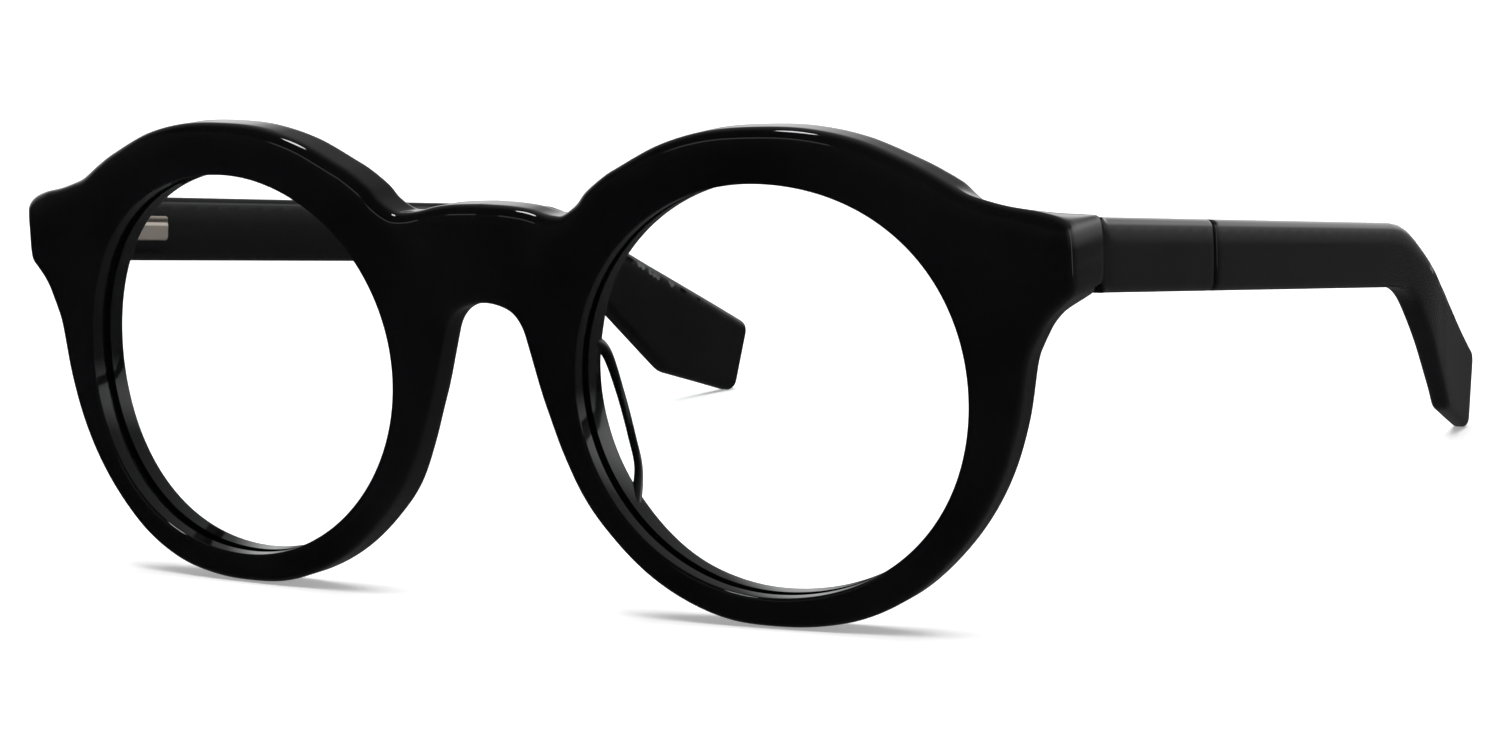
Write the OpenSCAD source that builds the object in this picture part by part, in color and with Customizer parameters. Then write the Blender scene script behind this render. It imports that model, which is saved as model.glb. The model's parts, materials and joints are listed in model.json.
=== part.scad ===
// Thick acetate eyeglasses: a one-piece round-eyed front, two temples on spring hinges, clear lenses.
// The front faces -Y, the temples run back along +Y, and +Z is up. The origin lies under the middle
// of the whole object's box, on the surface that the rims and temple tips rest on.

/* [Front] */
// Half width of each lens opening
opening_w = 23.1; // [22.9:0.1:23.2]
// Half height of each lens opening
opening_h = 22.15; // [22:0.05:22.3]
// Distance from the middle of the bridge to each lens centre, along the front
lens_x = 35.4; // [35:0.1:36]
// Height of the lens centres above the resting surface
lens_z = 25.5; // [25.4:0.02:25.7]
// Thickness of the acetate sheet of the front
front_depth = 5.6; // [5.2:0.1:5.8]
// Angle by which each half of the front wraps back
wrap = 4; // [3.5:0.1:4.5]
// Angle by which the top of the front leans forward
tilt = 1.45; // [1.2:0.05:1.7]
// Radius of the curve that each half of the front follows
front_curve_r = 234; // [220:1:250]

/* [Lenses] */
// Thickness of each lens
lens_thick = 1.4; // [1.2:0.1:1.6]
// Depth of the lens behind the front surface
lens_depth = 1.9; // [1.7:0.1:2.2]
// How far the lens edge reaches into the groove of the rim
lens_edge = 0.6; // [0.4:0.1:0.7]

/* [Temples] */
// Thickness of each temple at the hinge
temple_thick = 4.2; // [4.1:0.05:4.3]
// Outer face of the temples at the hinge, from the middle plane
temple_x = 68.8; // [68.6:0.1:69]
// Y of the seam between the front and the temples
seam_y = 14.1; // [14:0.1:14.2]
// Gap at the seam
seam_gap = 0.1; // [0.05:0.05:0.2]
// Y of the decorative upright groove on the outer face of each temple
accent_y = 46; // [40:1:60]
// Depth of the decorative groove
accent_depth = 0.45; // [0.2:0.05:0.6]
// Half thickness of the flat metal core wire inside each temple
core_half = 0.5; // [0.4:0.05:0.6]

/* [Hinges] */
// X of the hinge pin axis
hinge_x = 63.1; // [63:0.05:63.2]
// Y of the hinge pin axis
hinge_y = 14.3; // [14.25:0.05:14.4]
// Height of the middle of the hinge
hinge_z = 39.5; // [39.4:0.1:39.6]
// Outer radius of the hinge knuckles
knuckle_r = 1.4; // [1.3:0.05:1.45]
// Radius of the hinge screw's shank
screw_r = 0.6; // [0.5:0.05:0.65]
// Running clearance between the screw and the spring slider
screw_clear = 0.05; // [0.02:0.01:0.08]
// Length of the spring hinge's housing
housing_len = 8.8; // [8.6:0.1:9.4]
// Height of the spring hinge's housing
housing_h = 3.1; // [3:0.1:3.2]
// How far the housing stands proud of the temple's inner face
housing_proud = 0.5; // [0.3:0.1:0.6]
// Travel of the spring hinge
spring_travel = 1; // [0.6:0.1:1]

/* [Hidden] */
$fn = 96;

origin_y = 77.05;            // Y of the middle of the box, measured from the lens centres
fit = 0.03;                  // gap round pieces that are sunk into the acetate
slope = 6.45;                // downward slope of the temples' straight part
toe_in = 1.6;                // inward angle of the temples' straight part
knuckle_h = 1.2;             // height of the middle knuckle, on the spring slider
knuckle_gap = 0.05;          // gap between the middle knuckle and its neighbours
hinge_half = 1.8;            // half height of the whole hinge
rod_r = 0.4;                 // radius of the spring slider's rod
rod_n = 2.4;                 // how far the rod lies outside the hinge axis
cavity_r = 0.95;             // radius of the housing's bore
shoulder = 3.2;              // distance from the hinge axis to the shoulder the spring pushes on
spring_len = 3.2;            // length of the spring when the hinge is stretched
bush_len = 1;                // length of the bush on the end of the rod
rod_end = 0.5;               // how far the rod reaches past the bush
coils = 6;                   // rings of the spring
wire_r = 0.2;                // radius of the spring's wire
neck_len = 1.5;              // how far the slider's flat neck reaches along the temple
neck_rim = 0.3;              // how far the neck reaches past the rod
housing_start = 1.7;         // distance from the hinge axis to the housing
housing_depth = 2.6;         // depth of the housing, across the temple
leaf_recess = 1.6;           // how far the hinge leaf is sunk behind the seam
leaf_thick = 0.9;            // thickness of the hinge leaf
leaf_x = 59.7;               // inner end of the hinge leaf
leaf_side_x = 64.5;          // outer side of the recess that holds the leaf
anchor = [60.3, 10.6, 2.2, 2.4]; // X and Y of the leaf's anchor, its length and its depth
oval_corner = 0.45;          // how far the opening bulges at its two corners next to the temple
oval_sides = 96;             // sides of a lens opening
groove_gap = 0.1;            // play of the lens in its groove
block_u = 24.4;              // inner wall of the end block, from the lens centre
face_skin = 2;               // depth at which the end block starts behind the front's face
far = 160;                   // larger than the whole object

// Outline of one half of the front, from the top of the bridge over the brow and round to the
// arch of the bridge. Each point is [towards the temple, up] from the lens centre.
bridge_top = [[-37.5, 19.4], [-lens_x, 19.35], [-31.8, 19.25], [-29.2, 18.95], [-27.1, 18.45],
    [-25.5, 18.25], [-24.1, 18.4]];
brow = [[-22.2, 19.6], [-20.9, 21], [-18.7, 22.6], [-16.8, 23.65], [-11.5, 26.15], [-5.8, 27.65], [0, 28.1],
    [5.9, 27.9], [11.7, 26.7], [17.4, 24.35], [20.3, 22.85], [23, 21.25]];
end_piece = [[25, 20.5], [27.8, 19.75], [30.6, 19.25], [32.8, 18.6], [34, 17.7], [34.35, 16.2], [34.4, 14],
    [34.4, 12], [34.1, 10.6], [33.1, 9.6], [32, 8.6], [31.1, 7.5], [30.4, 6.2], [29.9, 5.2], [29.1, 3.1]];
rim_outer = [[28, -2.9], [26.2, -8.5], [23.5, -13.5], [19.9, -17.9], [15.7, -21.5], [10.7, -24],
    [5.4, -25.2], [0, -25.5], [-5.4, -25.1], [-10.5, -23.5], [-15.2, -20.9], [-19.3, -17.4],
    [-22.9, -13.2], [-25.5, -8.3], [-27.5, -3.1]];
bridge_arch = [[-28.3, -0.7], [-29, 1.75], [-29.7, 4.2], [-30.1, 5.45], [-30.7, 6.5], [-31.5, 7.3],
    [-32.65, 7.85], [-34.2, 8.2], [-lens_x, 8.3], [-37.5, 8.3]];
half_outline = concat(bridge_top, brow, end_piece, rim_outer, bridge_arch);

// Side view of the end block as [Y, Z] from the lens centre
block_side = [[face_skin, 18.75], [22, 16.4], [22, 10.8], [face_skin, 8.5]];

// Side view of a temple, by its corners as [Y, Z, radius]
temple_corners = [[seam_y, 43.4, 0.3], [111.6, 32.6, 24], [155.7, 9.8, 1.8], [151.8, -0.42, 1.8],
    [136, 4.75, 4], [114.8, 24, 14], [seam_y, 35.45, 0.3]];
// Top view of a temple, by its outer face as [X, Y, thickness]
temple_plan = [[temple_x, seam_y, temple_thick], [67.9, 46.1, temple_thick], [67, 78, 4.1], [66.3, 104, 3.8],
    [65.6, 121, 3.3], [64.1, 131, 2.9], [62.9, 137.5, 2.75], [61.2, 147, 2.6], [59.8, 156, 2.5]];
// Centre line of the core wire, as [X, Y, Z]
wire_line = [[65.4, 25.1, 38.25], [64.2, 112, 28.4], [63.45, 125, 20.3], [60.95, 141, 10.3]];
wire_lead = 0.6;             // the wire's channel opens into the housing's pocket

// Centre line of a nose pad as [X, Y, Z] from the resting surface
pad_line = [[11.9, 5, 29.4], [12.1, 7.2, 27.4], [13, 8.7, 21], [14.6, 8.2, 16], [16.9, 5.1, 12]];
pad_r = [0.75, 0.6, 0.5, 0.5, 0.6];

// Point on a Catmull-Rom curve through four points
function curve_point(a, b, c, d, t) =
    0.5 * (2 * b + (c - a) * t + (2 * a - 5 * b + 4 * c - d) * t * t
        + (3 * b - a - 3 * c + d) * t * t * t);
// Smooth open line through a list of points
function smooth(p, steps) = concat([for (i = [0 : len(p) - 2], k = [0 : steps - 1])
    curve_point(p[max(i - 1, 0)], p[i], p[i + 1], p[min(i + 2, len(p) - 1)], k / steps)],
    [p[len(p) - 1]]);

function unit(v) = v / norm(v);
// Closed outline through corners that are each [y, z, radius]
function rounded(p) = [for (i = [0 : len(p) - 1])
    let (here = [p[i][0], p[i][1]], before = p[(i + len(p) - 1) % len(p)], after = p[(i + 1) % len(p)],
        a = unit([before[0], before[1]] - here), b = unit([after[0], after[1]] - here),
        half = acos(a * b) / 2, centre = here + unit(a + b) * p[i][2] / sin(half),
        start = here + a * p[i][2] / tan(half) - centre,
        turn = -sign(cross(a, b)) * (180 - 2 * half), steps = ceil(abs(turn) / 7))
    for (k = [0 : steps]) let (t = turn * k / steps)
        centre + [start[0] * cos(t) - start[1] * sin(t), start[0] * sin(t) + start[1] * cos(t)]];

module on_floor() {
    translate([0, -origin_y, 0]) children();
}
module each_side(side) {
    on_floor() mirror([side == "left" ? 1 : 0, 0, 0]) children();
}
// Frame of the right lens: X towards the temple, Z up, Y back into the front
module lens_frame() {
    translate([lens_x, 0, lens_z]) rotate([tilt, 0, 0]) rotate([0, 0, wrap]) children();
}
// Upright prism of a [x, z] outline, from y0 to y1
module prism(points, y0, y1) {
    translate([0, y1, 0]) rotate([90, 0, 0]) linear_extrude(y1 - y0) polygon(points);
}
// Curved sheet between two depths behind the front surface
module sheet(from_depth, to_depth) {
    translate([0, front_curve_r, 0]) difference() {
        cylinder(h = 80, r = front_curve_r - from_depth, center = true, $fn = 360);
        cylinder(h = 82, r = front_curve_r - to_depth, center = true, $fn = 360);
    }
}
// Prism through the front with the shape of a lens opening, larger by grow all round
module oval(grow) {
    prism([for (i = [0 : oval_sides - 1])
        let (a = i * 360 / oval_sides, out = grow + (cos(a) > 0 ? oval_corner * pow(sin(2 * a), 2) : 0))
        [(opening_w + out) * cos(a), (opening_h + out) * sin(a)]], -4, 16);
}

module end_block(outline) {
    intersection() {
        prism(outline, -2, 22);
        translate([0, front_curve_r, 0])
            cylinder(h = 80, r = front_curve_r - face_skin, center = true, $fn = 360);
        translate([block_u, 0, 0]) rotate([90, 0, 90]) linear_extrude(15) polygon(block_side);
    }
}
module half_front() {
    outline = smooth(half_outline, 3);
    intersection() {
        lens_frame() {
            intersection() {
                prism(outline, -2, 16);
                sheet(0, front_depth);
            }
            end_block(outline);
        }
        translate([0, -far / 2, -far / 2]) cube(far);
    }
}
// The space behind the seam, where the temple and the hinge leaf lie
module behind_end_piece() {
    translate([40, seam_y, 20]) cube(40);
    translate([40, seam_y - leaf_recess, 20]) cube([leaf_side_x - 40, 20, 40]);
}
module hinge_anchor(grow) {
    translate([anchor[0] - grow, anchor[1] - grow, hinge_z - knuckle_h - grow])
        cube([anchor[2] + 2 * grow, anchor[3] + grow, 2 * knuckle_h + 2 * grow]);
}
module front_half_cut() {
    difference() {
        half_front();
        behind_end_piece();
        hinge_anchor(fit);
        lens_frame() {
            oval(0);
            intersection() {
                oval(lens_edge + groove_gap);
                sheet(lens_depth - groove_gap, lens_depth + lens_thick + groove_gap);
            }
        }
    }
}

module front_frame() {
    color([0.03, 0.03, 0.035]) on_floor() {
        front_half_cut();
        mirror([1, 0, 0]) front_half_cut();
    }
}

module lens(side) {
    color([0.85, 0.9, 0.95, 0.35]) each_side(side) lens_frame() intersection() {
        oval(lens_edge);
        sheet(lens_depth, lens_depth + lens_thick);
    }
}

module nose_pad(side) {
    color([0.03, 0.03, 0.035]) each_side(side)
        for (i = [0 : len(pad_line) - 2]) hull() {
            translate(pad_line[i]) sphere(r = pad_r[i], $fn = 24);
            translate(pad_line[i + 1]) sphere(r = pad_r[i + 1], $fn = 24);
        }
}

// Upright knuckle with a bore for the screw
module knuckle(z0, z1, bore) {
    translate([hinge_x, hinge_y, hinge_z + z0]) difference() {
        cylinder(h = z1 - z0, r = knuckle_r);
        translate([0, 0, -1]) cylinder(h = z1 - z0 + 2, r = bore);
    }
}

module front_hinge(side) {
    inner = knuckle_h / 2 + knuckle_gap;
    leaf_y = seam_y - leaf_recess + fit;
    color([0.72, 0.7, 0.66]) each_side(side) {
        difference() {
            union() {
                translate([leaf_x, leaf_y, hinge_z - hinge_half])
                    cube([hinge_x - leaf_x, leaf_thick, 2 * hinge_half]);
                translate([hinge_x - knuckle_r, leaf_y, hinge_z - hinge_half])
                    cube([knuckle_r, hinge_y - leaf_y, 2 * hinge_half]);
            }
            translate([hinge_x, hinge_y, hinge_z - 3]) cylinder(h = 6, r = knuckle_r - 0.1);
            translate([hinge_x, hinge_y, hinge_z - inner]) cylinder(h = 2 * inner, r = knuckle_r + 0.25);
        }
        knuckle(inner, hinge_half, screw_r + 0.02);
        knuckle(-hinge_half, -inner, screw_r + 0.02);
        hinge_anchor(0);
    }
}

module hinge_screw(side) {
    color([0.8, 0.8, 0.8]) each_side(side) translate([hinge_x, hinge_y, hinge_z]) difference() {
        union() {
            translate([0, 0, -hinge_half - 0.1]) cylinder(h = 2 * hinge_half + 0.2, r = screw_r);
            translate([0, 0, hinge_half + 0.02]) cylinder(h = 0.5, r = 1.05);
        }
        translate([-2, -0.14, hinge_half + 0.27]) cube([4, 0.28, 1]);
    }
}

// Frame of the right temple at the hinge: Y along the temple, X outwards
module temple_frame() {
    translate([hinge_x, hinge_y, hinge_z]) rotate([-slope, 0, 0]) rotate([0, 0, toe_in]) children();
}
// Round bar along the temple
module bar(from, to, radius) {
    translate([rod_n, from, 0]) rotate([-90, 0, 0]) cylinder(h = to - from, r = radius);
}

module spring_slider(side) {
    color([0.75, 0.73, 0.7]) each_side(side) {
        knuckle(-knuckle_h / 2, knuckle_h / 2, screw_r + screw_clear);
        difference() {
            intersection() {
                translate([0, 0, hinge_z - knuckle_h / 2]) cube([80, 40, knuckle_h]);
                temple_frame() translate([0, 0, -2]) cube([rod_n + rod_r + neck_rim, neck_len, 4]);
            }
            translate([hinge_x, hinge_y, hinge_z - 2]) cylinder(h = 4, r = knuckle_r - 0.1);
        }
        temple_frame() bar(1.2, shoulder + spring_len + spring_travel + bush_len + rod_end, rod_r);
    }
}

module slider_bush(side) {
    start = shoulder + spring_len + spring_travel;
    color([0.6, 0.6, 0.6]) each_side(side) temple_frame() difference() {
        bar(start, start + bush_len, cavity_r - 0.08);
        bar(start - 1, start + bush_len + 1, rod_r + 0.01);
    }
}

module hinge_spring(side) {
    pitch = (spring_len - 2 * wire_r - 0.1) / (coils - 1);
    color([0.82, 0.82, 0.84]) each_side(side) temple_frame() for (i = [0 : coils - 1])
        translate([rod_n, shoulder + 0.05 + wire_r + i * pitch, 0]) rotate([90, 0, 0])
            rotate_extrude($fn = 32) translate([cavity_r - 0.05 - wire_r, 0]) circle(r = wire_r, $fn = 16);
}

// Block of the spring housing; its inner face stands proud of the temple
module housing_block(grow) {
    inner_face = temple_x - temple_thick - hinge_x - housing_proud;
    translate([inner_face - grow, housing_start - grow, -housing_h / 2 - grow])
        cube([housing_depth + 2 * grow, housing_len + 2 * grow, housing_h + 2 * grow]);
}

module hinge_housing(side) {
    color([0.74, 0.69, 0.62]) each_side(side) temple_frame() difference() {
        housing_block(0);
        bar(0, shoulder + 1, rod_r + 0.06);
        bar(shoulder, housing_start + housing_len - 1, cavity_r);
    }
}

// Wire of square section along wire_line, larger by grow all round and by lead at its front end
module core_wire_solid(grow, lead) {
    last = len(wire_line) - 1;
    reach = core_half + grow;
    line = [for (i = [0 : last]) wire_line[i]
        + (i == 0 ? -lead * unit(wire_line[1] - wire_line[0])
            : i == last ? grow * unit(wire_line[i] - wire_line[i - 1]) : [0, 0, 0])];
    intersection() {
        translate([40, 0, 0]) rotate([90, 0, 90]) linear_extrude(40)
            polygon(concat([for (p = line) [p[1], p[2] + reach]],
                [for (i = [last : -1 : 0]) [line[i][1], line[i][2] - reach]]));
        linear_extrude(60) polygon(concat([for (p = line) [p[0] + reach, p[1]]],
            [for (i = [last : -1 : 0]) [line[i][0] - reach, line[i][1]]]));
    }
}

module core_wire(side) {
    color([0.7, 0.7, 0.72]) each_side(side) core_wire_solid(0, 0);
}

module temple(side) {
    outer = smooth(temple_plan, 4);
    last = len(outer) - 1;
    inner = [for (i = [last : -1 : 0]) [outer[i][0] - outer[i][2], outer[i][1]]];
    color([0.03, 0.03, 0.035]) each_side(side) difference() {
        intersection() {
            translate([40, 0, 0]) rotate([90, 0, 90]) linear_extrude(40) polygon(rounded(temple_corners));
            translate([0, 0, -1]) linear_extrude(60)
                polygon(concat([for (p = outer) [p[0], p[1]]], inner));
        }
        translate([40, seam_y - 1, 20]) cube([40, 1 + seam_gap, 40]);
        temple_frame() housing_block(fit);
        core_wire_solid(fit, wire_lead);
        translate([temple_x - (accent_y - seam_y) * tan(toe_in), accent_y, 20])
            rotate([0, 0, 45]) cube([accent_depth * sqrt(2), accent_depth * sqrt(2), 50], center = true);
        temple_frame() translate([-2, -3, -1])
            cube([2 + rod_n + rod_r + 2 * neck_rim, 3 + neck_len + 0.25, 2]);
    }
}

front_frame();
lens("right");  // lens_right
lens("left");  // lens_left
nose_pad("right");  // nose_pad_right
nose_pad("left");  // nose_pad_left
front_hinge("right");  // front_hinge_right
front_hinge("left");  // front_hinge_left
hinge_screw("right");  // hinge_screw_right
hinge_screw("left");  // hinge_screw_left
spring_slider("right");  // spring_slider_right
spring_slider("left");  // spring_slider_left
slider_bush("right");  // slider_bush_right
slider_bush("left");  // slider_bush_left
hinge_spring("right");  // hinge_spring_right
hinge_spring("left");  // hinge_spring_left
hinge_housing("right");  // hinge_housing_right
hinge_housing("left");  // hinge_housing_left
temple("right");  // temple_right
temple("left");  // temple_left
core_wire("right");  // core_wire_right
core_wire("left");  // core_wire_left
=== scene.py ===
"""Thick acetate eyeglasses with round clear lenses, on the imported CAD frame.

Shapes are worked out in millimetres in the CAD's own design axes: X towards the right temple, Y back
from the lens centres, Z up from the surface that the glasses rest on. place() turns them into the
frame's metres. Every shape is made for the right side and mirrored for the left.
"""

import json
import math

import bmesh
import bpy
import numpy as np
from mathutils import Matrix, Vector
from mathutils.geometry import delaunay_2d_cdt


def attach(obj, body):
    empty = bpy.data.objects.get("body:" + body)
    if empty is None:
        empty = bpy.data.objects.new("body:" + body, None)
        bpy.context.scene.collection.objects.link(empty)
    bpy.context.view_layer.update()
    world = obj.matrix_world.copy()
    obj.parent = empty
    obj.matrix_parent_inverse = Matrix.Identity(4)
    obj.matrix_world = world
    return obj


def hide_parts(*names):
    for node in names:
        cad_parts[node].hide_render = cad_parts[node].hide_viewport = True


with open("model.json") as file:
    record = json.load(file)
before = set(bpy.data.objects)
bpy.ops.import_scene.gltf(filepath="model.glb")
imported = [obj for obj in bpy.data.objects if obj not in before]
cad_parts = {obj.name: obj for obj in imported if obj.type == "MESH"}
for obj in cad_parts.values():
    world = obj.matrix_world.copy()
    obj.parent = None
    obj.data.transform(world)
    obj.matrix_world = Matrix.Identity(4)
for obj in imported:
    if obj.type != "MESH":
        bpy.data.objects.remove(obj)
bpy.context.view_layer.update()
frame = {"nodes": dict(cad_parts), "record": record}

MM = 0.001
SHARP = math.radians(40)  # edges that turn more than this are drawn sharp
SIDES = ("right", "left")

# ---- sizes, in millimetres and degrees ----
HINGE_AXIS_Y = 14.3  # from the lens centres back to the hinge pins
SEAM_Y = 14.1  # the seam between the front and the temples
LEAF_Y = 12.5  # bottom of the recess that holds the hinge leaf
LEAF_X = 64.5  # outer side of that recess
LENS_X, LENS_Z = 35.4, 25.5  # the right lens centre
OPENING_W, OPENING_H = 23.1, 22.15  # half width and half height of a lens opening
OPENING_CORNER = 0.45  # how far it bulges at its two corners next to the temple
FRONT_DEPTH = 5.6
CURVE_R = 234.0  # curve of each half of the front
WRAP, TILT = math.radians(4.0), math.radians(1.45)
LENS_DEPTH, LENS_THICK, LENS_EDGE = 1.9, 1.4, 0.6
EDGE_R = 1.25  # rounding of the front's outer edges
BACK_EDGE_R = 1.2  # rounding of its rear edges
NASAL_EDGE_R = 2.4  # and where they face the nose
LIP_R, BACK_LIP_R = 0.34, 0.45  # rounding of the lens openings, in front and behind
CREASE_SOFT = 0.8  # how softly the two halves of the front meet, in square millimetres
CREASE_W = 3.0  # the distance over which the side walls take on the wrap
# the hollows in the bridge, one on each side of the crease
HOLLOW_X, HOLLOW_Z, HOLLOW_W, HOLLOW_H, HOLLOW_DEPTH = 7.6, 17.5, 2.6, 4.0, 0.45
# how far the front's face rolls back towards its outline, how much more at the end pieces, and how wide
FRONT_ROLL, END_ROLL, ROLL_W = 0.20, 0.40, 3.4
END_ROLL_X = 62, 69
OPENING_ROLL, OPENING_ROLL_W = 0.10, 1.6  # and towards the lens openings
# the ridge behind the nasal side of each rim: its height, distance from the lens centre and width
RIDGE, RIDGE_R, RIDGE_W = 0.9, 23.4, 1.7
RIDGE_END_U = -19, -9  # where it fades out below the lens centre
NASAL_X, NASAL_Z = (8, 14), (5, 12)  # where the side that faces the nose ends, outwards and upwards
TEMPLE_EDGE_R = 0.85
TEMPLE_ROLL, TEMPLE_ROLL_W = 0.16, 3.2  # the temples' faces roll towards their outline too
SEAM_EDGE_R = 0.16  # rounding at the seam
ACCENT_Y = 46.0  # the groove across each temple's outer face

# the end blocks, from the front's face back to the seam, with heights from the lens centre
BLOCK_TOP, BLOCK_LOW = 17.6, 16.2  # their top at the seam, and where their slope ends below it
BLOCK_TOP_X = 57, 59.5  # where their top starts to come down
BLOCK_SLOPE_FROM, BLOCK_SLOPE = 1.5, 10.4  # depth at which the slope starts, and its length
BLOCK_INNER_X, BLOCK_INNER_W = 59.3, 0.8  # their inner wall, and how wide it is
BLOCK_CUT, BLOCK_CUT_TOP, BLOCK_CUT_H = 1.8, 12.4, 3.4  # the slanting cut at its lower corner
BLOCK_FOOT = 8.3, 9.7  # their lower wall
BLOCK_EDGE_X, BLOCK_EDGE_Z = (57.5, 60), (6.5, 9)  # where the sharper edge at the seam begins
RECESS_STEP = 0.06  # half the width of the hinge recess's side wall

# how finely the faces are divided
FRONT_GRID, TEMPLE_GRID = 0.75, 0.55
OUTLINE_STEP, TEMPLE_OUTLINE_STEP = 0.4, 0.6
OPENING_SIDES, LENS_SIDES, PAD_SIDES = 320, 160, 20

fold_right = next(j for j in frame["record"]["behaviour"]["joints"] if j["name"] == "fold_right")
HINGE = np.array(fold_right["pos_m"]) / MM
ORIGIN_Y = HINGE_AXIS_Y - HINGE[1]


def place(points, side="right"):
    """Design millimetres to the frame's metres, mirrored for the left side."""
    moved = np.array(points, float) - [0, ORIGIN_Y, 0]
    return moved * [MM if side == "right" else -MM, MM, MM]


# ---- lines and steps ----
def step(x, start, end):
    """0 before start, 1 after end, and smooth in between."""
    t = np.clip((np.asarray(x, float) - start) / (end - start), 0, 1)
    return t * t * (3 - 2 * t)


def catmull_rom(points, count=16):
    """A smooth line through points, with count steps in each stretch."""
    p = np.array(points, float)
    p = np.vstack([2 * p[0] - p[1], p, 2 * p[-1] - p[-2]])
    t = np.arange(count)[:, None] / count
    line = [
        0.5 * (2 * b + (c - a) * t + (2 * a - 5 * b + 4 * c - d) * t**2 + (3 * b - a - 3 * c + d) * t**3)
        for a, b, c, d in zip(p, p[1:], p[2:], p[3:])
    ]
    return np.vstack([*line, p[-2]])


def rounded(corners, arc_step=0.12):
    """A closed outline through corners, each (x, y, radius)."""
    out = []
    xy = [np.array(c[:2], float) for c in corners]
    for i, (x, y, r) in enumerate(corners):
        here = np.array([x, y])
        a, b = xy[i - 1] - here, xy[(i + 1) % len(xy)] - here
        a, b = a / np.linalg.norm(a), b / np.linalg.norm(b)
        half = math.acos(np.clip(a @ b, -1, 1)) / 2
        reach = r / math.tan(half)
        centre = here + (a + b) / np.linalg.norm(a + b) * r / math.sin(half)
        start, end = here + a * reach - centre, here + b * reach - centre
        turn = math.atan2(start[0] * end[1] - start[1] * end[0], start @ end)
        for k in np.linspace(0, 1, max(3, int(abs(turn) / arc_step) + 1)):
            c, s = math.cos(turn * k), math.sin(turn * k)
            out.append(centre + [start[0] * c - start[1] * s, start[0] * s + start[1] * c])
    return np.array(out)


def resample(line, spacing, closed=False):
    """Points about spacing apart along a line. A closed line doesn't repeat its first point."""
    if closed:
        line = np.vstack([line, line[:1]])
    run = np.concatenate([[0], np.cumsum(np.linalg.norm(np.diff(line, axis=0), axis=1))])
    at = np.linspace(0, run[-1], max(4, round(run[-1] / spacing)) + 1)
    if closed:
        at = at[:-1]
    return np.column_stack([np.interp(at, run, line[:, k]) for k in range(line.shape[1])])


def inward(line, closed):
    """Unit vectors square to a line, to the right of its direction: inwards for a clockwise outline."""
    if closed:
        along = np.roll(line, -1, axis=0) - np.roll(line, 1, axis=0)
    else:
        along = np.gradient(line, axis=0)
    along /= np.linalg.norm(along, axis=1)[:, None]
    return np.column_stack([along[:, 1], -along[:, 0]])


def distance(points, line, closed=False):
    """Distance from each point to a line."""
    ends = np.roll(line, -1, axis=0) if closed else line[1:]
    starts = line if closed else line[:-1]
    best = np.full(len(points), 1e9)
    for a, b in zip(starts, ends):
        ab = b - a
        t = np.clip(((points - a) @ ab) / max(ab @ ab, 1e-12), 0, 1)
        best = np.minimum(best, np.linalg.norm(points - a - t[:, None] * ab, axis=1))
    return best


def inside(points, loop):
    """True for each point that lies inside a closed loop."""
    x, y = points[:, 0], points[:, 1]
    hits = np.zeros(len(points), bool)
    for (x0, y0), (x1, y1) in zip(loop, np.roll(loop, -1, axis=0)):
        if y0 != y1:
            crosses = (y0 > y) != (y1 > y)
            hits ^= crosses & (x < (x1 - x0) * (y - y0) / (y1 - y0) + x0)
    return hits


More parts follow.
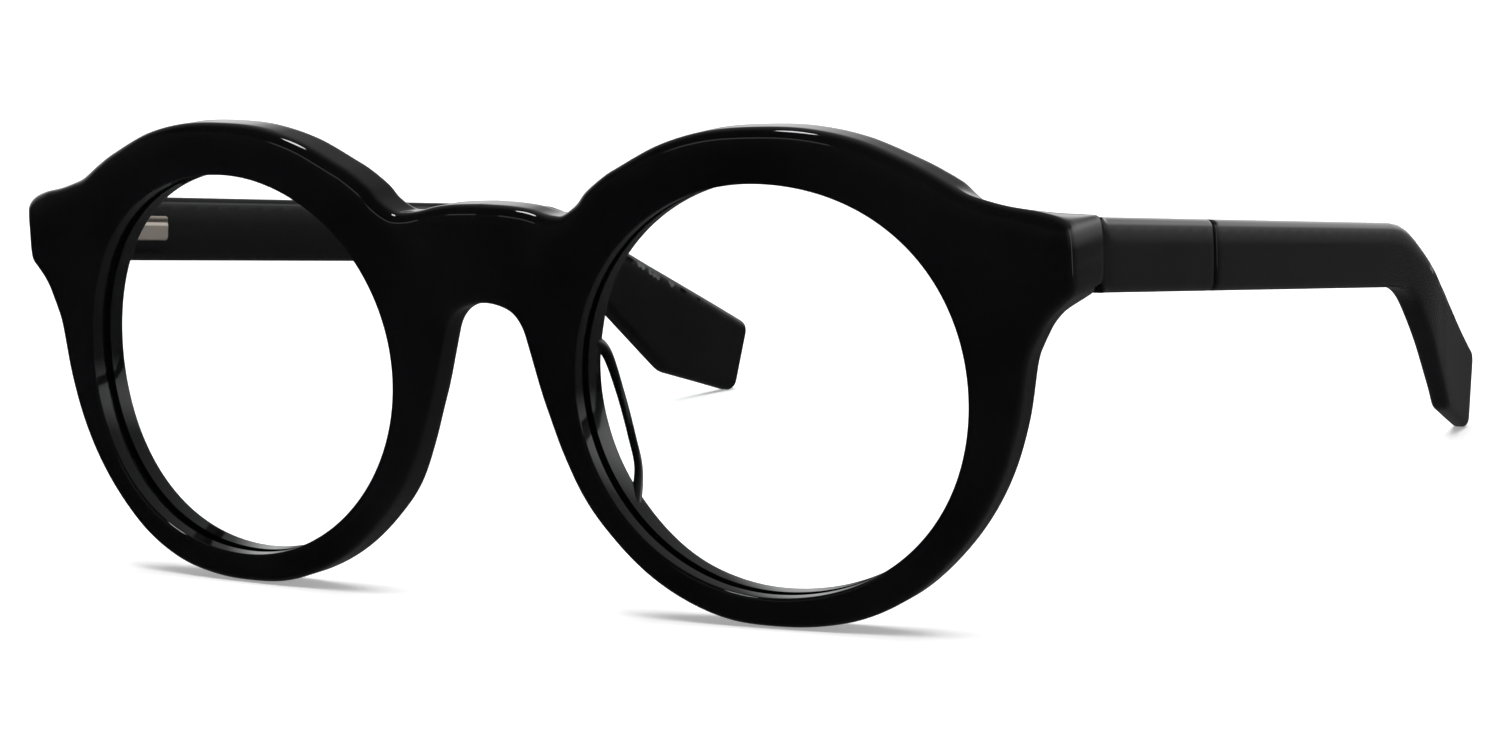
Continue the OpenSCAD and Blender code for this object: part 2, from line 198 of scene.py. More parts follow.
# ---- building a shell from rows of points and filled faces ----
class Shell:
    """Vertices and faces of one mesh, built from rows of points in design millimetres."""

    def __init__(self):
        self.points, self.faces = [], []

    def row(self, points):
        first = len(self.points)
        self.points.extend(np.asarray(points, float))
        return list(range(first, len(self.points)))

    def strip(self, a, b, closed=True):
        """Quads between two rows of the same length."""
        for i in range(len(a) if closed else len(a) - 1):
            j = (i + 1) % len(a)
            self.faces.append((a[i], a[j], b[j], b[i]))

    def strips(self, rows, closed=True):
        for a, b in zip(rows, rows[1:]):
            self.strip(a, b, closed)

    def fan(self, ring, middle):
        """Triangles from a closed row to one point."""
        self.faces += [(ring[i], ring[(i + 1) % len(ring)], middle) for i in range(len(ring))]

    def rolled_edge(self, loop, surface, steps=8):
        """Rows that roll from the side wall onto a face. Gives the first and the last row, and the last
        row's place in the face's plane."""
        rows = []
        for angle in np.linspace(0, math.pi / 2, steps + 1):
            flat = loop["line"] + loop["in"] * (loop["r"] * (1 - math.cos(angle)))[:, None]
            rows.append(self.row(surface(flat, loop["r"] * (1 - math.sin(angle)))))
        self.strips(rows, loop["closed"])
        return rows[0], rows[-1], flat

    def face(self, loops, surface, spacing, cut=0, columns=()):
        """A face between loops, the first of them the outline: a rolled edge along each, and even
        triangles in between. cut is the number of points along the straight line that closes an open
        outline. columns are lines of points that the triangles follow. Gives each loop's wall row."""
        walls, flats, index, edges = [], [], [], []
        for k, loop in enumerate(loops):
            wall, last, flat = self.rolled_edge(loop, surface)
            walls.append(wall)
            ids = list(last)
            if k == 0 and not loop["closed"]:
                between = np.linspace(flat[-1], flat[0], cut + 2)[1:-1]
                flat = np.vstack([flat, between])
                ids += self.row(surface(between, np.zeros(cut)))
            first = len(index)
            index += ids
            edges += [(first + i, first + (i + 1) % len(ids)) for i in range(len(ids))]
            flats.append(flat)
        rim = np.vstack(flats)
        low, high = rim.min(axis=0), rim.max(axis=0)
        grid = []
        for i, y in enumerate(np.arange(low[1], high[1], spacing * math.sqrt(3) / 2)):
            x = np.arange(low[0] + (i % 2) * spacing / 2, high[0], spacing)
            grid.append(np.column_stack([x, np.full(len(x), y)]))
        grid = np.vstack(grid)

        def within(points, clear):
            ok = inside(points, flats[0])
            for hole in flats[1:]:
                ok &= ~inside(points, hole)
            points = points[ok]
            for flat in flats:
                points = points[distance(points, flat, True) > clear]
            return points

        for column in columns:
            column = within(column, 0.3 * spacing)
            grid = grid[distance(grid, column) > 0.5 * spacing]
            first = len(index)
            index += self.row(surface(column, np.zeros(len(column))))
            edges += [(first + i, first + i + 1) for i in range(len(column) - 1)]
            rim = np.vstack([rim, column])
        grid = within(grid, 0.55 * spacing)
        index += self.row(surface(grid, np.zeros(len(grid))))
        flat_all = np.vstack([rim, grid])
        found, _, triangles, source, _, _ = delaunay_2d_cdt(
            [Vector(p) for p in flat_all], edges, [], 0, 1e-5)
        back_to = [ids[0] for ids in source]
        corners = np.array([list(t) for t in triangles])
        centre = np.array([list(v) for v in found])[corners].mean(axis=1)
        keep = inside(centre, flats[0])
        for hole in flats[1:]:
            keep &= ~inside(centre, hole)
        self.faces += [tuple(index[back_to[v]] for v in t) for t in corners[keep]]
        return walls

    def wall(self, front, back, rows=6, closed=True):
        """Straight rows of quads between two rows that are already there."""
        a, b = np.array([self.points[i] for i in front]), np.array([self.points[i] for i in back])
        between = [self.row(a + (b - a) * k / rows) for k in range(1, rows)]
        self.strips([front, *between, back], closed)


def make(name, shell, body, look, stands_for, side="right", mirror=False):
    """A mesh object from a shell, riding on a body in place of the CAD nodes that it stands for."""
    bm = bmesh.new()
    verts = [bm.verts.new(p) for p in place(shell.points, side)]
    for f in shell.faces:
        if len(set(f)) > 2:
            bm.faces.new([verts[i] for i in dict.fromkeys(f)])
    if mirror:
        for v in verts:
            if abs(v.co.x) < 2e-6:
                v.co.x = 0
        bmesh.ops.mirror(bm, geom=bm.verts[:] + bm.edges[:] + bm.faces[:], axis="X", merge_dist=1e-6)
    bmesh.ops.remove_doubles(bm, verts=bm.verts[:], dist=1e-7)
    bmesh.ops.recalc_face_normals(bm, faces=bm.faces[:])
    for f in bm.faces:
        f.smooth = True
    mesh = bpy.data.meshes.new(name)
    bm.to_mesh(mesh)
    bm.free()
    mesh.set_sharp_from_angle(angle=SHARP)
    mesh.materials.append(look)
    obj = bpy.data.objects.new(name, mesh)
    bpy.context.scene.collection.objects.link(obj)
    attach(obj, body)
    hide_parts(*stands_for)
    return obj


# ---- materials ----
def material(name, **inputs):
    """A Principled material with plain values set on its own sockets."""
    mat = bpy.data.materials.new(name)
    mat.use_nodes = True
    shader = mat.node_tree.nodes["Principled BSDF"]
    for key, value in inputs.items():
        shader.inputs[key.replace("_", " ")].default_value = value
    return mat, mat.node_tree, shader


def link(tree, a, b):
    tree.links.new(a, b)


def noise(tree, scale, detail, stretch=(1, 1, 1)):
    """Noise over the object, in cycles per metre."""
    where = tree.nodes.new("ShaderNodeTexCoord")
    mapping = tree.nodes.new("ShaderNodeMapping")
    mapping.inputs["Scale"].default_value = stretch
    tex = tree.nodes.new("ShaderNodeTexNoise")
    tex.inputs["Scale"].default_value = scale
    tex.inputs["Detail"].default_value = detail
    link(tree, where.outputs["Object"], mapping.inputs["Vector"])
    link(tree, mapping.outputs["Vector"], tex.inputs["Vector"])
    return tex.outputs["Fac"]


def ramp(tree, value, low, high, start=0.0, end=1.0):
    """value from start to end as a colour, or a number, from low to high."""
    if isinstance(low, tuple):
        node = tree.nodes.new("ShaderNodeValToRGB")
        node.color_ramp.elements[0].position, node.color_ramp.elements[1].position = start, end
        node.color_ramp.elements[0].color, node.color_ramp.elements[1].color = (*low, 1), (*high, 1)
        link(tree, value, node.inputs["Fac"])
        return node.outputs["Color"]
    node = tree.nodes.new("ShaderNodeMapRange")
    for key, v in zip(("From Min", "From Max", "To Min", "To Max"), (start, end, low, high)):
        node.inputs[key].default_value = v
    link(tree, value, node.inputs["Value"])
    return node.outputs["Result"]


def bump(tree, height, shader, depth_mm, strength=1.0):
    node = tree.nodes.new("ShaderNodeBump")
    node.inputs["Distance"].default_value = depth_mm * MM
    node.inputs["Strength"].default_value = strength
    link(tree, height, node.inputs["Height"])
    link(tree, node.outputs["Normal"], shader.inputs["Normal"])


def acetate_material():
    """Tumbled and hand-polished black acetate: a deep gloss with the faintest unevenness."""
    mat, tree, shader = material("acetate_black", IOR=1.49)
    cloud = noise(tree, 55, 4)
    link(tree, ramp(tree, cloud, (0.0022, 0.0022, 0.0026), (0.0045, 0.0045, 0.0050), 0.3, 0.7),
         shader.inputs["Base Color"])
    link(tree, ramp(tree, noise(tree, 40, 2), 0.035, 0.065, 0.3, 0.7), shader.inputs["Roughness"])
    bump(tree, noise(tree, 45, 1), shader, 0.012)
    return mat


LENS_IOR = 1.18  # low, for the coat


def lens_material():
    """A thin clear demo lens with an anti-reflection coat, which reflects the same from both sides."""
    mat = bpy.data.materials.new("lens_clear")
    mat.use_nodes = True
    tree = mat.node_tree
    tree.nodes.clear()
    out = tree.nodes.new("ShaderNodeOutputMaterial")
    mix = tree.nodes.new("ShaderNodeMixShader")
    clear = tree.nodes.new("ShaderNodeBsdfTransparent")
    gloss = tree.nodes.new("ShaderNodeBsdfGlossy")
    clear.inputs["Color"].default_value = (0.992, 0.997, 0.996, 1)
    gloss.inputs["Roughness"].default_value = 0.02
    fresnel = tree.nodes.new("ShaderNodeFresnel")
    leaving = tree.nodes.new("ShaderNodeNewGeometry").outputs["Backfacing"]
    link(tree, ramp(tree, leaving, LENS_IOR, 1 / LENS_IOR), fresnel.inputs["IOR"])
    haze = ramp(tree, noise(tree, 90, 2), (0.72, 0.86, 0.80), (0.80, 0.80, 0.92), 0.3, 0.7)
    link(tree, haze, gloss.inputs["Color"])
    link(tree, fresnel.outputs["Fac"], mix.inputs["Fac"])
    link(tree, clear.outputs["BSDF"], mix.inputs[1])
    link(tree, gloss.outputs["BSDF"], mix.inputs[2])
    link(tree, mix.outputs["Shader"], out.inputs["Surface"])
    return mat


def metal_material(name, dark, light, rough, grain=(1, 14, 14)):
    """Satin metal with a fine drawn grain along the temple."""
    mat, tree, shader = material(name, Metallic=1.0)
    fine = noise(tree, 900, 4, grain)
    link(tree, ramp(tree, fine, dark, light, 0.3, 0.7), shader.inputs["Base Color"])
    link(tree, ramp(tree, noise(tree, 1500, 3, grain), rough - 0.06, rough + 0.08, 0.3, 0.7),
         shader.inputs["Roughness"])
    bump(tree, fine, shader, 0.006, 0.6)
    return mat


ACETATE = acetate_material()
LENS = lens_material()
NICKEL = metal_material("hinge_nickel", (0.50, 0.48, 0.45), (0.64, 0.62, 0.58), 0.26)
WARM = metal_material("housing_warm", (0.60, 0.53, 0.46), (0.72, 0.65, 0.57), 0.34)
STEEL = metal_material("screw_steel", (0.55, 0.55, 0.56), (0.72, 0.72, 0.73), 0.2)
WIRE = metal_material("spring_steel", (0.60, 0.60, 0.61), (0.75, 0.75, 0.76), 0.15)

# ---- the front ----
BRIDGE_TOP = [(-LENS_X, 19.35), (-31.8, 19.25), (-29.2, 18.95), (-27.1, 18.45), (-25.5, 18.25), (-24.1, 18.4)]
BROW = [(-22.2, 19.6), (-20.9, 21), (-18.7, 22.6), (-16.8, 23.65), (-11.5, 26.15), (-5.8, 27.65), (0, 28.1),
        (5.9, 27.9), (11.7, 26.7), (17.4, 24.35), (20.3, 22.85), (23, 21.25)]
END_TOP = [(25, 20.5), (27.8, 19.75), (30.6, 19.25), (32.8, 18.6), (34, 17.7)]
END_PIECE = END_TOP + [(34.35, 16.2), (34.4, 14), (34.4, 12), (34.1, 10.6), (33.1, 9.6), (32, 8.6),
                       (31.1, 7.5), (30.4, 6.2), (29.9, 5.2), (29.1, 3.1)]
RIM = [(28, -2.9), (26.2, -8.5), (23.5, -13.5), (19.9, -17.9), (15.7, -21.5), (10.7, -24), (5.4, -25.2),
       (0, -25.5), (-5.4, -25.1), (-10.5, -23.5), (-15.2, -20.9), (-19.3, -17.4), (-22.9, -13.2),
       (-25.5, -8.3), (-27.5, -3.1)]
BRIDGE_ARCH = [(-28.3, -0.7), (-29, 1.75), (-29.7, 4.2), (-30.1, 5.45), (-30.7, 6.5), (-31.5, 7.3),
               (-32.65, 7.85), (-34.2, 8.2), (-LENS_X, 8.3)]


def curve_depth(u):
    """How far the front's curve has gone back, u from the lens centre."""
    return CURVE_R - np.sqrt(CURVE_R**2 - u * u)


def rim_x(u):
    """X of a point on the rim's front surface, u from the lens centre."""
    return LENS_X + u * math.cos(WRAP) - curve_depth(u) * math.sin(WRAP)


def on_front(line):
    """Points [u, z] from the lens centre as [x, z] on the front surface."""
    return np.column_stack([rim_x(line[:, 0]), line[:, 1]])


def rim_u(x):
    """The other way round: u of a point at x on the rim's front surface."""
    u = (x - LENS_X) / math.cos(WRAP)
    for _ in range(5):
        u = (x - LENS_X + curve_depth(u) * math.sin(WRAP)) / math.cos(WRAP)
    return u


def front_height(x, z):
    """The front surface's place, back from the tilted plane through the lens centres. The two halves
    meet in a soft crease, and the bridge has a shallow hollow on both sides of it."""
    u = rim_u(np.sqrt(x * x + CREASE_SOFT))
    hollow = HOLLOW_DEPTH * np.exp(-(((x - HOLLOW_X) / HOLLOW_W) ** 2) - ((z - HOLLOW_Z) / HOLLOW_H) ** 2)
    return u * math.sin(WRAP) + curve_depth(u) * math.cos(WRAP) + hollow


def settled(x, z, depth):
    """Height behind the front surface: the end blocks' tops come down to the temples' tops."""
    top = np.interp(x, [rim_x(u) for u, _ in END_TOP], [v for _, v in END_TOP])
    lowered = BLOCK_LOW + (z - BLOCK_LOW) * (BLOCK_TOP - BLOCK_LOW) / (np.maximum(top, BLOCK_TOP) - BLOCK_LOW)
    share = np.clip((depth - BLOCK_SLOPE_FROM) / BLOCK_SLOPE, 0, 1) * step(x, *BLOCK_TOP_X) * (z > BLOCK_LOW)
    return z + (lowered - z) * share


def front_point(flat, depth):
    """A point at a depth behind the front surface, in design millimetres."""
    x, z = flat[:, 0], flat[:, 1]
    lean = WRAP * step(x, 0, CREASE_W)
    y = front_height(x, z) + depth * np.cos(lean)
    z = settled(x, z, depth)
    x = x - depth * np.sin(lean)
    return np.column_stack([x, y * math.cos(TILT) - z * math.sin(TILT),
                            LENS_Z + y * math.sin(TILT) + z * math.cos(TILT)])


def seam_depth(flat):
    """The depth at which a point of the front reaches the seam."""
    near, far = front_point(flat, np.zeros(len(flat))), front_point(flat, np.ones(len(flat)))
    return (SEAM_Y - near[:, 1]) / (far[:, 1] - near[:, 1])


def leaf_edge_x(z):
    """X on the front surface that lies straight before the hinge recess's side."""
    flat = np.column_stack([np.full(len(z), LEAF_X), z])
    return LEAF_X + seam_depth(flat) * math.sin(WRAP)


def back_depth(flat):
    """Depth of the back surface: even over the rims with a low ridge behind the nasal side of each lens
    opening, and out to the seam at the end pieces."""
    x, z = flat[:, 0], flat[:, 1]
    inner = BLOCK_INNER_X + BLOCK_CUT * np.clip((BLOCK_CUT_TOP - z) / BLOCK_CUT_H, 0, 1)
    out = step(x, inner, inner + BLOCK_INNER_W) * step(z, *BLOCK_FOOT)
    edge = leaf_edge_x(z)
    recess = 1 - step(x, edge - RECESS_STEP, edge + RECESS_STEP)
    reach = seam_depth(flat) + (LEAF_Y - SEAM_Y) * recess
    u = rim_u(x)
    nasal = (1 - step(u, *RIDGE_END_U)) * (1 - step(z, *NASAL_Z))
    ridge = RIDGE * np.exp(-(((np.hypot(u, z) - RIDGE_R) / RIDGE_W) ** 2)) * nasal
    return FRONT_DEPTH + ridge + (reach - FRONT_DEPTH) * out


def front_outline():
    """The right half's outline on the front surface, from the middle of the bridge over the brow, round
    the rim and back to the middle."""
    line = catmull_rom(BRIDGE_TOP + BROW + END_PIECE + RIM + BRIDGE_ARCH)
    line = resample(on_front(line), OUTLINE_STEP)
    line[0, 0] = line[-1, 0] = 0
    return line


def opening(grow=0.0, share=1.0, count=OPENING_SIDES):
    """The lens opening as [u, z] from the lens centre, anticlockwise: an ellipse with two fuller corners next
    to the temple. It is made larger by grow all round and then scaled by share."""
    a = np.arange(count) * 2 * math.pi / count
    out = grow + OPENING_CORNER * np.sin(2 * a) ** 2 * (np.cos(a) > 0)
    return share * np.column_stack([(OPENING_W + out) * np.cos(a), (OPENING_H + out) * np.sin(a)])


def build_front():
    """The whole front, with the lens grooves and the recesses for the hinge leaves."""
    shell = Shell()
    outline = front_outline()
    normal = inward(outline, False)
    normal[0], normal[-1] = (0, -1), (0, 1)
    hole = on_front(opening())
    outward = on_front(opening(1)) - hole
    outward /= np.linalg.norm(outward, axis=1)[:, None]

    def crowned(flat, drop):
        """The front surface rolls gently back towards the outline, most of all at the end pieces."""
        away = distance(flat, outline)
        end_piece = step(flat[:, 0], *END_ROLL_X)
        roll = (FRONT_ROLL + END_ROLL * end_piece) * (1 - np.clip(away / ROLL_W, 0, 1)) ** 2
        near_lens = (np.hypot(rim_u(flat[:, 0]) / OPENING_W, flat[:, 1] / OPENING_H) - 1) * OPENING_W
        roll += OPENING_ROLL * (1 - np.clip(near_lens / OPENING_ROLL_W, 0, 1)) ** 2
        return front_point(flat, drop + roll)

    def backed(flat, drop):
        return front_point(flat, back_depth(flat) - drop)

    def loops(edge_r, lip_r):
        return [{"line": outline, "in": normal, "r": edge_r, "closed": False},
                {"line": hole, "in": outward, "r": np.full(len(hole), lip_r), "closed": True}]

    even = np.full(len(outline), EDGE_R)
    x, z = outline[:, 0], outline[:, 1]
    at_seam = step(x, *BLOCK_EDGE_X) * step(z, *BLOCK_EDGE_Z)
    at_nose = (1 - step(x, *NASAL_X)) * (1 - step(z, *NASAL_Z))
    back_r = (BACK_EDGE_R + (SEAM_EDGE_R - BACK_EDGE_R) * at_seam
              + (NASAL_EDGE_R - BACK_EDGE_R) * at_nose)
    rise = np.arange(4, 22, 0.4)
    beside = RECESS_STEP + 0.01
    step_lines = [np.column_stack([leaf_edge_x(rise) + dx, rise]) for dx in (-beside, beside)]
    front_out, front_hole = shell.face(loops(even, LIP_R), crowned, FRONT_GRID, cut=20)
    back_out, back_hole = shell.face(loops(back_r, BACK_LIP_R), backed, FRONT_GRID, cut=20,
                                     columns=step_lines)
    shell.wall(front_out, back_out, closed=False)

    # the lens groove, between the two lips
    groove = on_front(opening(LENS_EDGE + 0.08))
    top, bottom = LENS_DEPTH - 0.03, LENS_DEPTH + LENS_THICK + 0.03
    rows = [shell.row(front_point(ring, np.full(len(ring), depth)))
            for ring, depth in ((hole, top), (groove, top), (groove, bottom), (hole, bottom))]
    shell.strips([front_hole, *rows, back_hole])
    return make("front", shell, "front", ACETATE, ["front_frame"], mirror=True)


def build_lens(side):
    """A curved lens with both faces, seated in the groove."""
    shell = Shell()
    shares = np.linspace(0, 1, 13)[1:]
    faces = []
    for depth in (LENS_DEPTH, LENS_DEPTH + LENS_THICK):
        rings = [shell.row(front_point(on_front(opening(LENS_EDGE - 0.05, share, LENS_SIDES)),
                                       np.full(LENS_SIDES, depth))) for share in shares]
        middle = shell.row(front_point(on_front(np.zeros((1, 2))), np.full(1, depth)))[0]
        shell.strips(rings)
        shell.fan(rings[0], middle)
        faces.append(rings[-1])
    shell.strip(*faces)
    return make(f"lens_clear_{side}", shell, "front", LENS, [f"lens_{side}"], side)


# ---- nose pads ----
PAD_LINE = [(11.4, 4.3, 29.9), (12, 6.6, 28.2), (12.5, 8.4, 23.5), (13.7, 8.6, 18.5), (14.9, 7.8, 15),
            (16.5, 4.3, 11.4)]
PAD_R = [0.9, 0.66, 0.52, 0.5, 0.52, 0.7]
PAD_THIN, PAD_WIDE = 0.85, 1.1  # the section's half thickness and half width, as shares of PAD_R


def build_pad(side):
    """A slim arched pad: a flattened section along a smooth line, with both ends in the rim."""
    shell = Shell()
    line = resample(catmull_rom(np.column_stack([PAD_LINE, PAD_R])), 0.35)
    middle, radius = line[:, :3], line[:, 3]
    along = np.gradient(middle, axis=0)
    along /= np.linalg.norm(along, axis=1)[:, None]
    across = np.cross(along, [0, 1, 0])
    across /= np.linalg.norm(across, axis=1)[:, None]
    back = np.cross(across, along)
    angles = np.arange(PAD_SIDES) * 2 * math.pi / PAD_SIDES
    rows = []
    for p, r, a, b in zip(middle, radius, across, back):
        section = [PAD_THIN * math.cos(t) * a + PAD_WIDE * math.sin(t) * b for t in angles]
        rows.append(shell.row([p + r * v for v in section]))
    shell.strips(rows)
    for end, ring, way in ((middle[0], rows[0], -along[0]), (middle[-1], rows[-1], along[-1])):
        shell.fan(ring, shell.row([end + 0.3 * way])[0])
    return make(f"nose_pad_slim_{side}", shell, "front", ACETATE, [f"nose_pad_{side}"], side)


# ---- temples ----
TEMPLE_CORNERS = [(SEAM_Y + 0.1, 43.4, 0.3), (111.6, 32.6, 24), (155.7, 9.8, 1.8), (151.8, -0.42, 1.8),
                  (136, 4.75, 4), (114.8, 24, 14), (SEAM_Y + 0.1, 35.45, 0.3)]
TEMPLE_PLAN = [(68.8, 14.1, 4.2), (67.9, 46.1, 4.2), (67, 78, 4.1), (66.3, 104, 3.8), (65.6, 121, 3.3),
               (64.1, 131, 2.9), (62.9, 137.5, 2.75), (61.2, 147, 2.6),
               (59.8, 156, 2.5)]  # outer face X, Y and thickness
GROOVE = [(-1.1, 0.0), (-0.72, 0.06), (-0.45, 0.18), (-0.24, 0.32), (-0.1, 0.44), (0.1, 0.44),
          (0.24, 0.32), (0.45, 0.18), (0.72, 0.06), (1.1, 0.0)]  # across and down, from ACCENT_Y

plan_line = catmull_rom(TEMPLE_PLAN)


def outer_x(y):
    """X of a temple's outer face."""
    return np.interp(y, plan_line[:, 1], plan_line[:, 0])


def inner_x(y):
    """X of its inner face."""
    return outer_x(y) - np.interp(y, plan_line[:, 1], plan_line[:, 2])


def with_stations(line, stations):
    """A closed outline with extra points where it crosses each station of its first coordinate."""
    out = []
    for a, b in zip(line, np.roll(line, -1, axis=0)):
        out.append(a)
        low, high = sorted((a[0], b[0]))
        found = [s for s in stations if low + 1e-3 < s < high - 1e-3]
        for s in sorted(found, reverse=bool(b[0] < a[0])):
            out.append(a + (b - a) * (s - a[0]) / (b[0] - a[0]))
    return np.array(out)


def build_temple(side):
    """A temple: two faces over the same outline, with a groove across the outer one."""
    shell = Shell()
    outline = resample(rounded(TEMPLE_CORNERS), TEMPLE_OUTLINE_STEP, True)
    stations = [ACCENT_Y + g[0] for g in GROOVE]
    outline = with_stations(outline, stations)
    normal = inward(outline, True)

    def crown(flat):
        away = distance(flat, outline, True)
        return TEMPLE_ROLL * (1 - np.clip(away / TEMPLE_ROLL_W, 0, 1)) ** 2

    def outer(flat, drop):
        groove = np.interp(flat[:, 0], stations, [g[1] for g in GROOVE])
        x = outer_x(flat[:, 0]) - drop - crown(flat) - groove
        return np.column_stack([x, flat])

    def inner(flat, drop):
        return np.column_stack([inner_x(flat[:, 0]) + drop + 0.5 * crown(flat), flat])

    at_seam = 1 - step(outline[:, 0], SEAM_Y + 0.2, SEAM_Y + 1.6)
    radius = TEMPLE_EDGE_R + (SEAM_EDGE_R - TEMPLE_EDGE_R) * at_seam
    loop = [{"line": outline, "in": normal, "r": radius, "closed": True}]
    z = np.arange(28, 44, 0.45)
    columns = [np.column_stack([np.full(len(z), s), z]) for s in stations]
    out = shell.face(loop, outer, TEMPLE_GRID, columns=columns)[0]
    back = shell.face(loop, inner, TEMPLE_GRID)[0]
    shell.wall(out, back, rows=5)
    return make(f"temple_arm_{side}_acetate", shell, f"temple_arm_{side}", ACETATE,
                [f"temple_{side}"], side)


# ---- the spring hinge's housing ----
SLOPE, TOE_IN = math.radians(6.45), math.radians(1.6)
HOUSING_START, HOUSING_LEN, HOUSING_H = 1.7, 8.8, 3.1
HOUSING_PROUD, HOUSING_DEPTH, HOUSING_CORNER_R = 0.5, 2.6, 0.55
LINE_DOWN, LINE_W, LINE_DEPTH = 0.8, 0.14, 0.16  # the fine line: how far under the top edge, width and depth
HINGE_Z = 39.5


def along_temple(points):
    """From the temple's own axes at the hinge, Y along it and X outwards, to design millimetres."""
    turn = Matrix.Rotation(-SLOPE, 3, "X") @ Matrix.Rotation(TOE_IN, 3, "Z")
    return np.array(points) @ np.array(turn).T + [HINGE[0], HINGE_AXIS_Y, HINGE_Z]


def build_housing(side):
    """A plate with rounded corners, soft edges and a fine line under its top edge, sunk into the
    temple's inner face."""
    shell = Shell()
    inner = inner_x(SEAM_Y) - HINGE[0] - HOUSING_PROUD
    end, h = HOUSING_START + HOUSING_LEN, HOUSING_H / 2
    corners = [(HOUSING_START, h, 0.15), (end, h, HOUSING_CORNER_R), (end, -h, HOUSING_CORNER_R),
               (HOUSING_START, -h, 0.15)]
    outline = resample(rounded(corners, 0.2), 0.3, True)
    normal = inward(outline, True)

    def shown(flat, drop):
        line = LINE_DEPTH * np.exp(-(((flat[:, 1] - (h - LINE_DOWN)) / LINE_W) ** 2))
        return along_temple(np.column_stack([inner + drop + line, flat]))

    def hidden(flat, drop):
        return along_temple(np.column_stack([inner + HOUSING_DEPTH - drop, flat]))

    def loop(r):
        return [{"line": outline, "in": normal, "r": np.full(len(outline), r), "closed": True}]

    out = shell.face(loop(0.12), shown, 0.22)[0]
    back = shell.face(loop(0.05), hidden, 0.6)[0]
    shell.wall(out, back, rows=2)
    return make(f"housing_plate_{side}", shell, f"temple_arm_{side}", WARM,
                [f"hinge_housing_{side}"], side)


def finish_cad_nodes():
    """The small metal parts keep their CAD shape and get their metals."""
    for side in SIDES:
        for node, metal in (("front_hinge", NICKEL), ("spring_slider", NICKEL), ("hinge_screw", STEEL),
                            ("slider_bush", STEEL), ("hinge_spring", WIRE), ("core_wire", WIRE)):
            mesh = frame["nodes"][f"{node}_{side}"].data
            mesh.materials.clear()
            mesh.materials.append(metal)


build_front()
for each in SIDES:
    build_lens(each)
    build_pad(each)
    build_temple(each)
    build_housing(each)
finish_cad_nodes()


# ---- floor, light and camera ----
def floor():
    """A pale floor that glows more with the distance, so that it runs into the white backdrop."""
    bpy.ops.mesh.primitive_plane_add(size=8, location=(0, 0, 0))
    plane = bpy.context.object
    plane.name = "floor"
    mat, tree, shader = material("floor_white", Roughness=0.9)
    shader.inputs["Base Color"].default_value = (0.9, 0.9, 0.9, 1)
    shader.inputs["Specular IOR Level"].default_value = 0.0
    shader.inputs["Emission Color"].default_value = (1, 1, 1, 1)
    where = tree.nodes.new("ShaderNodeTexCoord")
    away = tree.nodes.new("ShaderNodeVectorMath")
    away.operation = "LENGTH"
    link(tree, where.outputs["Object"], away.inputs[0])
    link(tree, ramp(tree, away.outputs["Value"], 0.35, 1.0, 0.3, 1.2), shader.inputs["Emission Strength"])
    plane.data.materials.append(mat)
    plane.visible_glossy = False


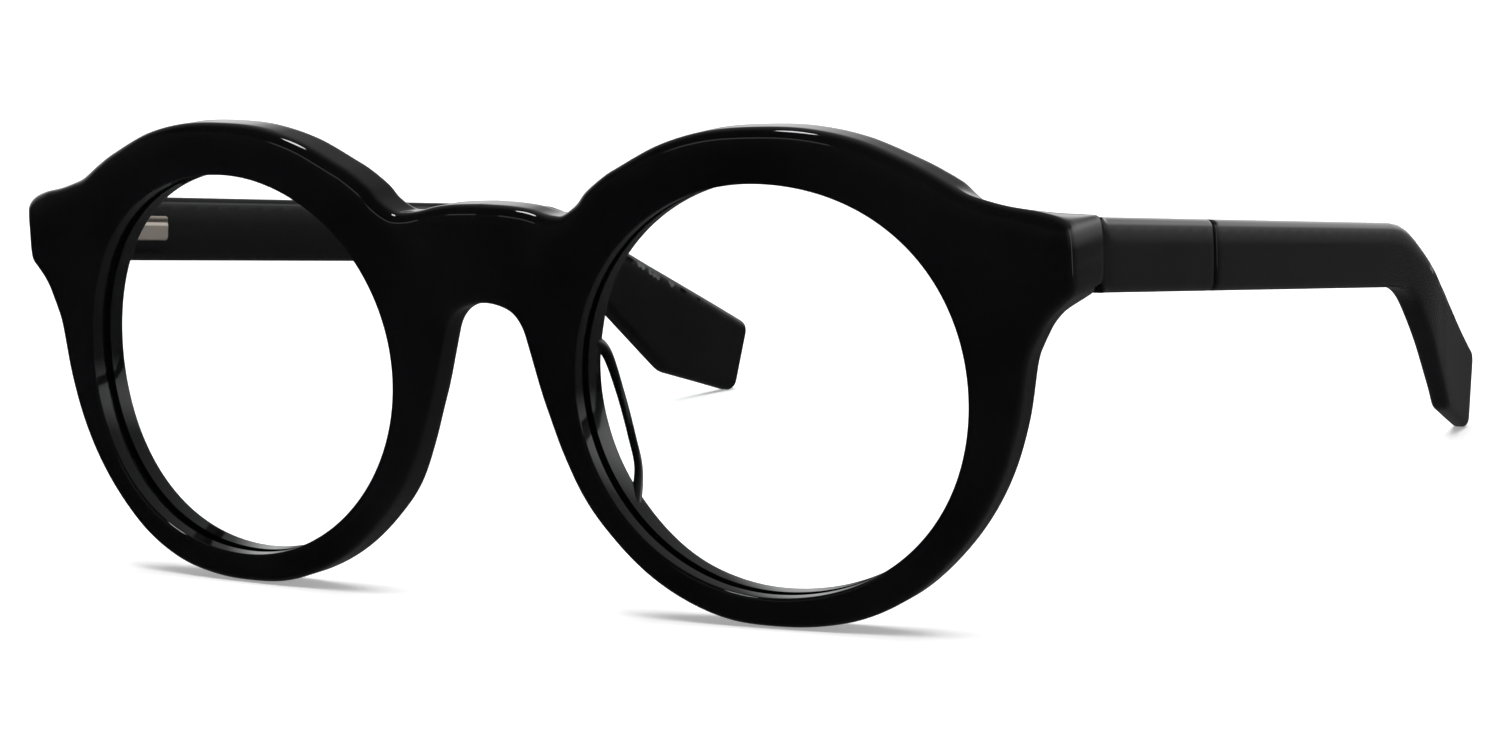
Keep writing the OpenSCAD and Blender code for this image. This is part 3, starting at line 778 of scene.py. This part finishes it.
def sky():
    """White for the camera. For the rest it is bright low down behind the glasses, and dim above and before
    them, as in a studio where only the backdrop is lit."""
    world = bpy.data.worlds.new("studio")
    world.use_nodes = True
    bpy.context.scene.world = world
    tree = world.node_tree
    tree.nodes.clear()
    out = tree.nodes.new("ShaderNodeOutputWorld")
    seen, lit = tree.nodes.new("ShaderNodeBackground"), tree.nodes.new("ShaderNodeBackground")
    mix = tree.nodes.new("ShaderNodeMixShader")
    path = tree.nodes.new("ShaderNodeLightPath")
    where = tree.nodes.new("ShaderNodeTexCoord")
    parts = tree.nodes.new("ShaderNodeSeparateXYZ")
    both, all_three = tree.nodes.new("ShaderNodeMath"), tree.nodes.new("ShaderNodeMath")
    both.operation = all_three.operation = "MULTIPLY"
    link(tree, where.outputs["Generated"], parts.inputs["Vector"])
    link(tree, ramp(tree, parts.outputs["Y"], 0.05, 1.0, -0.1, 0.6), both.inputs[0])
    link(tree, ramp(tree, parts.outputs["Z"], 0.065, 1.0, -0.1, 0.12), both.inputs[1])
    link(tree, both.outputs["Value"], all_three.inputs[0])
    link(tree, ramp(tree, parts.outputs["Z"], 1.0, 0.22, 0.22, 0.42), all_three.inputs[1])
    link(tree, all_three.outputs["Value"], lit.inputs["Strength"])
    link(tree, path.outputs["Is Camera Ray"], mix.inputs["Fac"])
    link(tree, lit.outputs["Background"], mix.inputs[1])
    link(tree, seen.outputs["Background"], mix.inputs[2])
    link(tree, mix.outputs["Shader"], out.inputs["Surface"])
    lit.inputs["Color"].default_value = seen.inputs["Color"].default_value = (1, 1, 1, 1)


def softbox(name, place_at, look_at, width, height, power, shape="RECTANGLE"):
    """An area light, with its place and aim in metres."""
    data = bpy.data.lights.new(name, "AREA")
    data.shape, data.size, data.size_y, data.energy = shape, width, height, power
    obj = bpy.data.objects.new(name, data)
    bpy.context.scene.collection.objects.link(obj)
    obj.location = place_at
    obj.rotation_euler = (Vector(look_at) - Vector(place_at)).to_track_quat("-Z", "Y").to_euler()
    return obj


CAMERA_AT = (224.656, -322.486, 80.81)


def camera():
    """At the reference view: from the front right, a little above."""
    data = bpy.data.cameras.new("camera")
    data.sensor_width, data.lens = 36, 86.074
    data.clip_start, data.clip_end = 0.01, 50
    obj = bpy.data.objects.new("camera", data)
    bpy.context.scene.collection.objects.link(obj)
    right, up = Vector((0.86306, 0.50391, -0.03474)), Vector((-0.04148, 0.13925, 0.98939))
    ahead = Vector((-0.5034, 0.85246, -0.14108))
    turn = Matrix((right, up, -ahead)).transposed()
    place_at = place([CAMERA_AT])[0]
    obj.matrix_world = Matrix.Translation(place_at) @ turn.to_4x4()
    bpy.context.scene.camera = obj


floor()
sky()
top = softbox("top_soft", (0, 0.05, 0.9), (0, 0, 0), 1.2, 1.0, 14)
top.visible_glossy = False
softbox("brow_round", (-0.20, -0.14, 0.80), (0, -0.06, 0.04), 0.16, 0.16, 1.0, "DISK")
softbox("front_soft", (-0.40, -1.00, 0.36), (0.03, -0.07, 0.04), 0.5, 0.14, 0.16)
softbox("side_strip", (0.80, 0.22, 0.17), (0.06, -0.05, 0.04), 0.06, 0.5, 0.12)
camera()
bpy.context.scene.view_settings.view_transform = "Standard"
